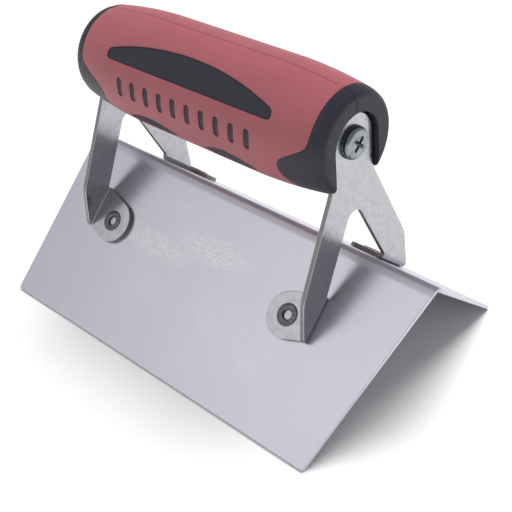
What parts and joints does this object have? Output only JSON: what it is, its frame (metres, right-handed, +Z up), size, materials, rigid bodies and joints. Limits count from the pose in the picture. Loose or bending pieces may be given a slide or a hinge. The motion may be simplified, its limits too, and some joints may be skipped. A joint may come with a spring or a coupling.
{
  "type": "corner trowel",
  "caption": "Corner trowel: folded stainless blade, two riveted steel brackets and a barrel handle with a soft skin, for finishing a plaster or drywall corner.",
  "frame": {"origin": "centre of the footprint, with both lower edges of the blade standing on z = 0", "axes": "+X along the ridge towards the raked nose, +Y towards the left leg, +Z up"},
  "size_m": [0.1523, 0.0958, 0.1],
  "materials": {
    "stainless_sheet": "satin ground stainless sheet, lightly scuffed",
    "zinc_plate": "tumbled zinc-plated steel, faintly mottled",
    "dark_rivet": "blackened steel with a bright middle",
    "zinc_screw": "bright zinc plate",
    "charcoal_core": "fine matt moulded plastic",
    "red_skin": "soft matt elastomer, dusty brick red"
  },
  "bodies": {
    "root": {"blade": "stainless_sheet", "front_bracket": "zinc_plate", "rear_bracket": "zinc_plate", "front_left_rivet": "dark_rivet", "front_right_rivet": "dark_rivet", "rear_left_rivet": "dark_rivet", "rear_right_rivet": "dark_rivet", "front_screw": "zinc_screw", "rear_screw": "zinc_screw", "handle_core": "charcoal_core", "grip_skin": "red_skin"}
  },
  "joints": []
}
